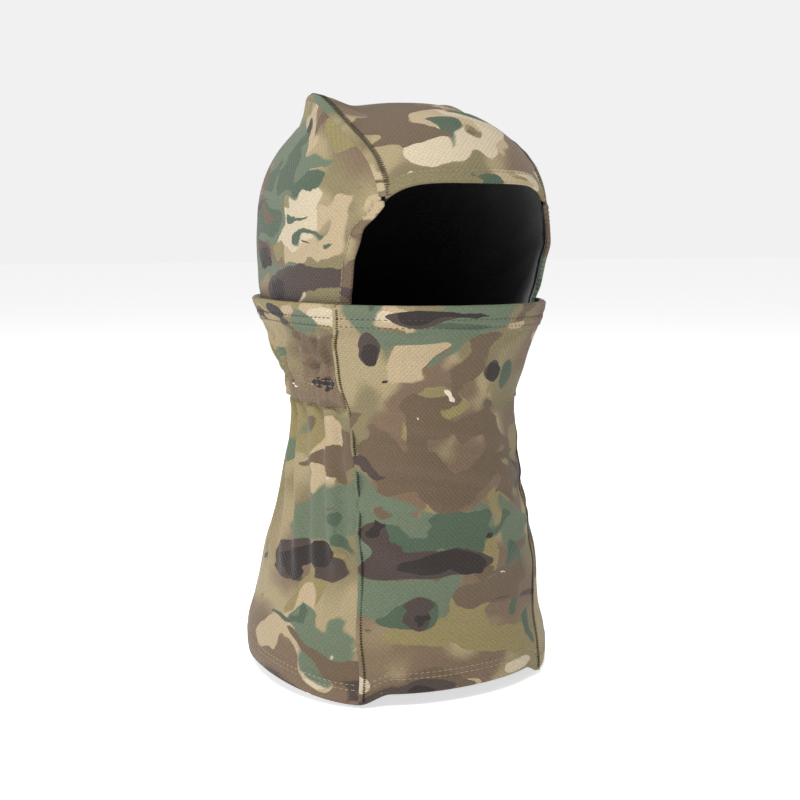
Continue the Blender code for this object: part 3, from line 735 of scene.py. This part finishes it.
def tube_normal(theta, z, of=skin):
    e = 0.004
    p = of(theta + e, z) - of(theta - e, z)
    q = of(theta, z + 0.3) - of(theta, z - 0.3)
    n = np.cross(p, q)
    n = n / (np.linalg.norm(n, axis=-1, keepdims=True) + 1e-9)
    radial = of(theta, z) * [1, 1, 0]
    return np.where(((n * radial).sum(-1) < 0)[..., None], -n, n)


def span(lo, hi, step):
    return np.linspace(lo, hi, max(6, int(round(abs(hi - lo) / step * FINE)) + 1))


# ---------------------------------------------------------------- where each colour gathers


def blotches(x, y, spots):
    """Bias for pale, green, brown and dark, from soft spots (x, y, wide, tall, which, how much)."""
    z = np.full(x.shape + (4,), 0.5)
    for sx, sy, w, t, which, much in spots:
        z[..., which] += much * np.exp(-(((x - sx) / w) ** 2) - ((y - sy) / t) ** 2)
    return z


PALE_, GREEN_, BROWN_, DARK_ = 0, 1, 2, 3
FRONT_SPOTS = [
    (-58, 207, 20, 6, PALE_, 0.50), (-36, 206, 12, 5, DARK_, 0.46), (-12, 202, 20, 4, GREEN_, 0.44), (-8, 208, 20, 2.5, DARK_, 0.40), (30, 204, 22, 6, PALE_, 0.20),
    (52, 206, 14, 5, BROWN_, 0.40), (-36, 194, 24, 4, GREEN_, 0.26), (0, 180, 70, 18, GREEN_, -0.45), (0, 180, 50, 20, DARK_, -0.30), (-30, 181, 17, 14, PALE_, 0.33),
    (-4, 178, 9, 16, BROWN_, 0.25), (12, 176, 9, 8, DARK_, 0.85), (27, 174, 7, 11, GREEN_, 0.90), (50, 188, 12, 10, BROWN_, 0.5), (48, 176, 8, 8, DARK_, 0.4),
    (-60, 186, 7, 9, DARK_, 0.62), (-56, 170, 6, 10, DARK_, 0.66), (-50, 160, 12, 16, GREEN_, -0.3), (-52, 162, 8, 16, PALE_, 0.12), (18, 155, 8, 4, GREEN_, 0.5), (21, 145, 5, 8, PALE_, 0.42),
    (-18, 140, 44, 26, BROWN_, 0.50), (-18, 116, 46, 14, BROWN_, 0.62), (10, 112, 26, 12, BROWN_, 0.45), (0, 132, 70, 24, GREEN_, -0.45), (-10, 134, 60, 28, DARK_, -0.32),
    (-10, 134, 60, 28, PALE_, -0.35), (-24, 88, 27, 12, GREEN_, 0.85), (8, 92, 12, 8, GREEN_, 0.45), (-58, 87, 8, 5, DARK_, 0.62), (-36, 69, 28, 4.5, DARK_, 0.62), (-8, 70, 16, 6, DARK_, 0.6),
    (10, 82, 12, 4, DARK_, 0.55), (-40, 58, 24, 6, PALE_, 0.08), (15, 52, 20, 13, BROWN_, 0.6), (15, 52, 20, 13, GREEN_, -0.4), (-26, 40, 14, 12, GREEN_, 0.62), (-26, 36, 7, 10, DARK_, 0.55),
    (34, 62, 11, 18, GREEN_, 0.6), (46, 100, 12, 16, BROWN_, 0.3), (15, 18, 12, 6, DARK_, 0.6), (22, 28, 30, 9, PALE_, 0.12), (-50, 30, 10, 8, DARK_, 0.3),
    (-32, 3, 24, 5, BROWN_, 0.5), (-30, 2, 18, 4, DARK_, 0.5), (-4, 1, 9, 5, PALE_, 0.60), (-54, 12, 14, 7, PALE_, 0.25), (30, 6, 18, 5, PALE_, 0.25), (0, 80, 80, 90, PALE_, -0.10),
]
BACK_SPOTS = [
    (-95, 205, 30, 8, PALE_, 0.5), (-130, 205, 22, 8, DARK_, 0.3), (-90, 182, 30, 14, BROWN_, 0.4), (-85, 168, 26, 8, DARK_, 0.42), (-86, 130, 26, 30, BROWN_, 0.30),
    (-100, 120, 16, 18, PALE_, 0.22), (-84, 92, 18, 12, GREEN_, 0.4), (-104, 66, 24, 10, DARK_, 0.5), (-86, 36, 24, 14, GREEN_, 0.35), (-110, 20, 28, 10, PALE_, 0.4),
    (-80, 8, 14, 10, PALE_, 0.4), (95, 130, 30, 30, GREEN_, 0.2), (120, 70, 30, 12, DARK_, 0.35), (0, 80, 40, 20, BROWN_, 0.2),
]
SIDE_SPOTS = [
    (-10, 300, 30, 12, PALE_, 0.35), (10, 285, 26, 16, GREEN_, 0.42), (-30, 268, 26, 14, PALE_, 0.34), (20, 262, 30, 10, GREEN_, 0.45), (-10, 246, 24, 10, PALE_, 0.35),
    (30, 240, 24, 10, DARK_, 0.45), (0, 280, 60, 40, GREEN_, 0.16), (-35, 236, 20, 22, PALE_, 0.2), (-25, 228, 24, 9, GREEN_, 0.4), (5, 220, 26, 8, DARK_, 0.40), (70, 250, 26, 26, GREEN_, 0.25), (60, 300, 26, 14, BROWN_, 0.3),
]
TOP_SPOTS = [
    (-30, 66, 16, 22, BROWN_, 0.42), (-8, 84, 26, 18, BROWN_, 0.30), (12, 36, 46, 16, PALE_, 0.24), (-34, 34, 14, 10, PALE_, 0.24), (20, 55, 12, 5, GREEN_, 0.5),
    (-12, 46, 12, 4, GREEN_, 0.42), (40, 66, 16, 8, GREEN_, 0.35), (0, 120, 40, 20, PALE_, 0.2), (-10, 160, 30, 20, GREEN_, 0.25), (0, 45, 60, 30, DARK_, -0.30),
    (12, 62, 30, 14, PALE_, 0.20), (-34, 50, 12, 12, BROWN_, 0.4), (2, 30, 14, 3, GREEN_, 0.3),
]

# ---------------------------------------------------------------- the pieces


def held_between(*made):
    for o in made:
        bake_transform(o)
    return made


def flat_spots(theta, z, spots, move):
    x = wrap(theta) * 78
    return blotches(x, z, spots), np.stack([x + move[0], z + move[1]], -1)


def hem_thick(z, top_hem=True):
    t = 1.25 + 0.6 * (1 - ease(z, 11.4, 12.8))
    return t + (2.0 * ease(z, 198.2, 200.0) if top_hem else 0)


# front of the neck and face cover, one cut from hem to hem
zs = span(0.3, 212, 1.15)
near = seam_angle(zs)
u = span(-1, 1, 2 / 118)
TH = u[None] * (near - 0.010)[:, None]
ZZ = np.broadcast_to(zs[:, None], TH.shape)
zone, uv = flat_spots(TH, ZZ, FRONT_SPOTS, (300, 500))
front = cloth("cover_and_neck_front", skin(TH, ZZ), hem_thick(ZZ), uv, zone)

# back of the neck, from the bottom hem up under the band
zs = span(0.3, 157, 1.15)
near = seam_angle(zs)
u = span(0, 1, 1 / 300)
start = (near + 0.010)[:, None]
TH = -start - u[None] * (2 * math.pi - 2 * start)
ZZ = np.broadcast_to(zs[:, None], TH.shape)
zone, uv = flat_spots(TH, ZZ, BACK_SPOTS, (1500, 900))
uv = np.stack([np.unwrap(TH, axis=1) * 78 + 1500, ZZ + 900], -1)
g = skin(TH, ZZ)
tuck = tube_point(TH, ZZ, 0.35) * [1, 1, 0] - tube_point(TH, ZZ, 0.0) * [1, 1, 0]
g = g + tuck * (3.0 * ease(ZZ, 150, 155))[..., None]
neck_back = cloth("neck_back", g, hem_thick(ZZ, False), uv, zone)

# the wing round the back of the head, its top hem and its gathered band
zs = span(154, 212, 0.8)
near = seam_angle(zs)
u = span(0, 1, 1 / 420)
start = (near + 0.010)[:, None]
TH = -start - u[None] * (2 * math.pi - 2 * start)
ZZ = np.broadcast_to(zs[:, None], TH.shape)
zone, _ = flat_spots(TH, ZZ, BACK_SPOTS, (0, 0))
uv = np.stack([TH * 78 + 2600, ZZ + 1300], -1)
thick = 1.25 + 2.0 * ease(ZZ, 198.2, 200.0) + 2.4 * (1 - ease(ZZ, 165.5, 169))
wing = cloth("back_wing_and_band", band_skin(TH, ZZ), thick, uv, zone)
held_between(front, neck_back, wing)

# elastics inside the top hem and the band
zs = span(200.6, 210.4, 2)
near = seam_angle(zs)
TH = span(-1, 1, 2 / 60)[None] * (near - 0.06)[:, None]
ZZ = np.broadcast_to(zs[:, None], TH.shape)
uv = np.stack([TH * 78, ZZ], -1)
hem_elastic = cloth("hem_elastic", tube_point(TH, ZZ, 1.1), 0.9, uv, slots=(WEB,))
zs = span(156.6, 163.4, 2)
start = (seam_angle(zs) + 0.06)[:, None]
TH = -start - span(0, 1, 1 / 120)[None] * (2 * math.pi - 2 * start)
ZZ = np.broadcast_to(zs[:, None], TH.shape)
uv = np.stack([TH * 78, ZZ], -1)
band_web = cloth("band_web", tube_point(TH, ZZ, 0.7), 0.8, uv, slots=(WEB,))
held_between(hem_elastic, band_web)

# lapped side seams: a narrow raised fold of the back piece over the front one, overlocked on its back edge; the
# overlock's dark thread also serves as a painted shadow line beside the fold
seam_made = []
for side, sign in (("right", -1), ("left", 1)):
    zs = span(0.6, 211.4, 0.9)
    mid = seam_angle(zs)
    across = np.linspace(-1, 1, 9)
    TH = mid[:, None] + across[None] * 0.018
    ZZ = np.broadcast_to(zs[:, None], TH.shape)
    p = skin(TH, ZZ)
    n = tube_normal(TH, ZZ)
    lump = 0.85 * (1 - across**2) ** 0.6 + 0.15 * bell(across, -0.35, 0.3)
    p = p + n * (lump[None] * (1 + 0.12 * np.sin(zs / 1.7)[:, None]))[..., None]
    up = ease(zs, 156, 168)[:, None]
    drop = hem_drop(TH, ZZ)
    p[..., 0] *= sign
    zone, uv = flat_spots(sign * TH, ZZ, FRONT_SPOTS, (300, 500))
    ridge = cloth(f"side_seam_{side}", p, 0.9, uv, zone, outward=p * [1, 1, 0])
    seam_made.append(ridge)
    ats = np.arange(2.0, 210.5, 1.25)
    m = seam_angle(ats)
    a, b = skin(m - 0.026, ats), skin(m - 0.009, ats + 0.6)
    nn = tube_normal(m - 0.02, ats)
    a, b = a + nn * 0.15, b + nn * 0.6
    a[:, 0] *= sign
    b[:, 0] *= sign
    nn[:, 0] *= sign
    # the dark overlock thread is partly real stitching and partly a painted shadow line along the seam
    over = threads(f"side_overlock_and_shadow_line_{side}", a, b, nn, 0.3, 0.15, DARK_THREAD_AND_SHADOW)
    seam_made.append(over)
held_between(*seam_made)

# stitch rows of the hems and the band
rows_low, rows_high, rows_band = [], [], []
for z0 in (8.2, 11.0):
    for lo, hi in ((-0.985, 0.985),):
        s = float(seam_angle(np.array([z0]))[0])
        th = np.linspace(-s + 0.03, s - 0.03, 400)
        rows_low.append(dashes(skin(th, np.full_like(th, z0)), tube_normal(th, np.full_like(th, z0))))
        th = np.linspace(-s - 0.04, -2 * math.pi + s + 0.04, 1000)
        rows_low.append(dashes(skin(th, np.full_like(th, z0)), tube_normal(th, np.full_like(th, z0))))
for z0 in (200.9, 205.4):
    s = float(seam_angle(np.array([z0]))[0])
    th = np.linspace(-s + 0.03, s - 0.03, 400)
    rows_high.append(dashes(skin(th, np.full_like(th, z0)), tube_normal(th, np.full_like(th, z0))))
    th = np.linspace(-s - 0.04, -2 * math.pi + s + 0.04, 1200)
    rows_high.append(dashes(band_skin(th, np.full_like(th, z0)), tube_normal(th, np.full_like(th, z0), band_skin)))
for z0 in (165.2, 168.3):
    s = float(seam_angle(np.array([z0]))[0])
    th = np.linspace(-s - 0.04, -2 * math.pi + s + 0.04, 2400)
    rows_band.append(dashes(band_skin(th, np.full_like(th, z0)), tube_normal(th, np.full_like(th, z0), band_skin), 1.9, 0.8))
stitch_low = threads("stitches_bottom_hem", *joined(*rows_low), 0.24, 0.12, PALE)
stitch_high = threads("stitches_top_hem", *joined(*rows_high), 0.26, 0.12, THREAD)
stitch_band = threads("stitches_band", *joined(*rows_band), 0.24, 0.12, PALE)
held_between(stitch_high, stitch_band, stitch_low)

# collar under the face cover
zs = span(127, 192.5, 1.6)
edge = math.radians(56)
TH = (-edge - span(0, 1, 1 / 160) * (2 * math.pi - 2 * edge))[None] * np.ones((len(zs), 1))
ZZ = np.broadcast_to(zs[:, None], TH.shape)
zone, _ = flat_spots(TH, ZZ, [], (0, 0))
uv = np.stack([TH * 70 + 4000, ZZ + 2000], -1)
collar = cloth("collar", tube_point(TH, ZZ, 0.0, COLLAR), 1.2, uv, zone)
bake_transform(collar)

# the hood
HOOD_MADE = []
uu = span(-1, 1, 2 / 84)
e = 1.6
first, last = uu * (seam_half(math.radians(24)) - e), uu * (seam_half(PSI_NAPE) - e)
lo, hi = front_psi(first, brim_height(first) + 6.4), nape_psi(last, SKIRT)
v = span(0, 1, 1 / 260)[:, None]
psi = lo[None] + v * (hi - lo)[None]
X = uu[None] * (seam_half(psi) - e)
g = strip(X, psi)
zone = blotches(X, np.degrees(psi), TOP_SPOTS)
uv = np.stack([X + 5200, np.degrees(psi) * 1.75 + 300], -1)
centre = cloth("hood_centre", hood_dress(g, 0.0), 1.3, uv, zone, outward=hood_out(g))

bx = span(-50.5, 50.5, 1.0)
b0 = front_psi(bx, brim_height(bx))
b1 = front_psi(bx, brim_height(bx) + 7.4)
tt = np.linspace(0, 1, 15)[:, None]
g = strip(np.broadcast_to(bx[None], (15, len(bx))), b0[None] + tt * (b1 - b0)[None])
height = 0.75 - 0.75 * ease(tt, 0.86, 1.0) - 0.45 * bell(tt, 0.76, 0.07) + 0.25 * bell(tt, 0.35, 0.3)
height = height + 0.12 * np.sin(bx / 2.3)[None] * bell(tt, 0.7, 0.3)
X = np.broadcast_to(bx[None], g.shape[:2])
zone = blotches(X, np.degrees(angle_of(g)), TOP_SPOTS)
uv = np.stack([X + 5200, 7.4 * tt + 320 + 0 * X], -1)
brim = cloth("brim", hood_dress(g, -height), 2.5, uv, zone, outward=hood_out(g))
HOOD_MADE += [centre, brim]
row = g[11]
dressed = hood_dress(g, -height)[11]
HOOD_MADE.append(threads("stitches_brim", *dashes(dressed, hood_out(row), 2.2, 1.0, 0.1), 0.24, 0.12, PALE))

for side, sign in (("right", -1), ("left", 1)):
    n = int(130 * FINE)
    g = side_grid(sign, 6.6, 0.62, 1.6, n, n + 10)
    zone = blotches(g[..., 1], g[..., 2], SIDE_SPOTS)
    uv = np.stack([g[..., 1] + (7000 if sign < 0 else 8300), g[..., 2] * 1.05 + 700 + 0.25 * np.abs(g[..., 0])], -1)
    piece = cloth(f"hood_side_{side}", hood_dress(g, 0.0), 1.3, uv, zone, outward=hood_out(g))
    HOOD_MADE.append(piece)
    # the opening's edge band
    zs = span(SKIRT, 268.6, 1.0)
    w = np.linspace(0, 1, 13)
    g = opening_point(np.minimum(zs, 266.4)[:, None] * np.ones((1, 13)), 7.6 * w[None], sign)
    g[..., 2] += (zs - np.minimum(zs, 266.4))[:, None]
    high = 0.75 - 0.75 * ease(w, 0.86, 1.0) - 0.45 * bell(w, 0.76, 0.07) + 0.25 * bell(w, 0.35, 0.3)
    zone = blotches(g[..., 1], g[..., 2], SIDE_SPOTS + [(-70, 230, 30, 60, BROWN_, 0.3)])
    uv = np.stack([7.6 * w[None] + 9000 + 0 * zs[:, None], zs[:, None] + 400 * sign + 0 * w[None] + 1500], -1)
    dressed = hood_dress(g, -np.broadcast_to(high[None], g.shape[:2]))
    HOOD_MADE.append(cloth(f"opening_edge_{side}", dressed, 2.5, uv, zone, outward=hood_out(g)))
    HOOD_MADE.append(threads(f"stitches_opening_{side}", *dashes(dressed[:, 10], hood_out(g[:, 10]), 2.2, 1.0, 0.1), 0.24, 0.12, PALE))
    # raised long seam
    vv = span(0.006, 0.999, 1 / 360)
    across = np.linspace(-1, 1, 9)
    lines = np.stack([seam_line(float(round(o, 3)), vv, sign) for o in across * 2.3], 1)
    lump = 1.25 * (1 - across**2) ** 0.6 * (0.25 + 0.75 * ease(lines[:, 4, 2], 213, 224))[:, None]
    d = hood_dress(lines, 0.1) + hood_out(lines) * lump[..., None]
    zone = blotches(lines[..., 1], lines[..., 2], SIDE_SPOTS)
    uv = np.stack([across[None] * 2.2 + 9600 + 0 * vv[:, None], vv[:, None] * 360 + 900 * sign + 2000 + 0 * across[None]], -1)
    HOOD_MADE.append(cloth(f"long_seam_{side}", d, 1.6, uv, zone, outward=hood_out(lines)))
    s = np.arange(0.006, 0.99, 1.7 / 372)
    a, b = seam_line(-0.9, s, sign), seam_line(-3.3, s + 0.0022, sign)
    na = hood_out(a)
    keep = a[:, 2] > 216
    a, b = hood_dress(a, -1.45)[keep], hood_dress(b, -0.25)[keep]
    HOOD_MADE.append(threads(f"long_overlock_{side}", a, b, na[keep], 0.27, 0.22, THREAD))
    # the black lining
    n = int(90 * FINE)
    g = lining_grid(sign, n, n)
    uv = np.stack([g[..., 1], g[..., 2]], -1)
    HOOD_MADE.append(cloth(f"lining_{side}", hood_dress(g, 2.9), 0.9, uv, outward=hood_out(g), slots=(BLACK,)))

for o in HOOD_MADE:
    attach(o, "hood")
    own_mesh(o)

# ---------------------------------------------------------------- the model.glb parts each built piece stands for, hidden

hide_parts("face_cover_hem", "face_cover_panel", "neck_front_panel", "bottom_hem_front")
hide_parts("neck_back_panel", "bottom_hem_back")
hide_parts("back_wing_hem", "back_wing", "gathered_band")
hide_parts("face_cover_elastic")
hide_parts("band_elastic")
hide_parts("hood_collar")
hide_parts("hood_center_panel")
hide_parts("brim_hem")
for side in ("right", "left"):
    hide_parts(f"cover_seam_{side}", f"neck_seam_{side}")
    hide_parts(f"hood_side_panel_{side}")
    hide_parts(f"opening_band_{side}")
    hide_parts(f"crown_seam_{side}")
    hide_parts(f"hood_lining_{side}")
SMALL = ("side_seam", "hem_elastic", "band_web", "brim", "opening_edge", "long_seam")
for o in DONE:
    name = o.name
    if name.startswith("lining"):
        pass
    elif name in ("hem_elastic", "band_web"):
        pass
    elif name.startswith("brim") or name.startswith("opening"):
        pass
    else:
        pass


# ---------------------------------------------------------------- floor, light, camera

floor_z = (-8 - CROWN_SEAT) / 1000 - 0.001


def plane(name, size, z):
    mesh = bpy.data.meshes.new(name)
    mesh.from_pydata([(-size, -size, z), (size, -size, z), (size, size, z), (-size, size, z)], [], [(0, 1, 2, 3)])
    made = bpy.data.objects.new(name, mesh)
    bpy.context.scene.collection.objects.link(made)
    return made


floor = plane("floor", 12, floor_z)
m = Nodes("pale_floor")
m.shader.inputs["Base Color"].default_value = (0.9, 0.9, 0.9, 1)
m.shader.inputs["Roughness"].default_value = 0.9
m.shader.inputs["Specular IOR Level"].default_value = 0.1
m.shader.inputs["Emission Color"].default_value = (1, 1, 1, 1)
m.shader.inputs["Emission Strength"].default_value = 0.66
floor.data.materials.append(m.material)

world = bpy.data.worlds.new("studio")
bpy.context.scene.world = world
world.use_nodes = True
wt = world.node_tree
ground = wt.nodes["Background"]
ground.inputs[0].default_value = (1, 1, 1, 1)
ground.inputs[1].default_value = 0.27
seen = wt.nodes.new("ShaderNodeBackground")
seen.inputs[0].default_value = (1, 1, 1, 1)
seen.inputs[1].default_value = 0.88
path = wt.nodes.new("ShaderNodeLightPath")
either = wt.nodes.new("ShaderNodeMixShader")
wt.links.new(path.outputs["Is Camera Ray"], either.inputs[0])
wt.links.new(ground.outputs[0], either.inputs[1])
wt.links.new(seen.outputs[0], either.inputs[2])
wt.links.new(either.outputs[0], wt.nodes["World Output"].inputs[0])


def lamp(name, place, aim, size, power):
    data = bpy.data.lights.new(name, "AREA")
    data.size = size
    data.energy = power
    made = bpy.data.objects.new(name, data)
    bpy.context.scene.collection.objects.link(made)
    made.location = place
    from mathutils import Vector

    made.rotation_euler = (Vector(aim) - Vector(place)).to_track_quat("-Z", "Y").to_euler()
    return made


lamp("key", (-0.85, -1.05, 1.25), (0, 0, -0.12), 0.5, 34)
lamp("fill", (-1.7, 0.2, 0.3), (0, 0, -0.15), 0.6, 8)
lamp("top", (0.2, 0.5, 1.5), (0, 0, -0.15), 0.9, 10)

camera = bpy.data.cameras.new("camera")
view = bpy.data.objects.new("camera", camera)
bpy.context.scene.collection.objects.link(view)
az = math.radians(-28)
far = 0.75
view.location = (math.sin(az) * far, -math.cos(az) * far, (249 - CROWN_SEAT) / 1000)
view.rotation_euler = (math.radians(90), 0, az)
camera.sensor_width = 36
camera.lens = 36 * 1215 / 800
camera.shift_y = -161 / 800
camera.clip_start = 0.05
bpy.context.scene.camera = view
bpy.context.scene.view_settings.view_transform = "Standard"
bpy.context.scene.view_settings.look = "None"
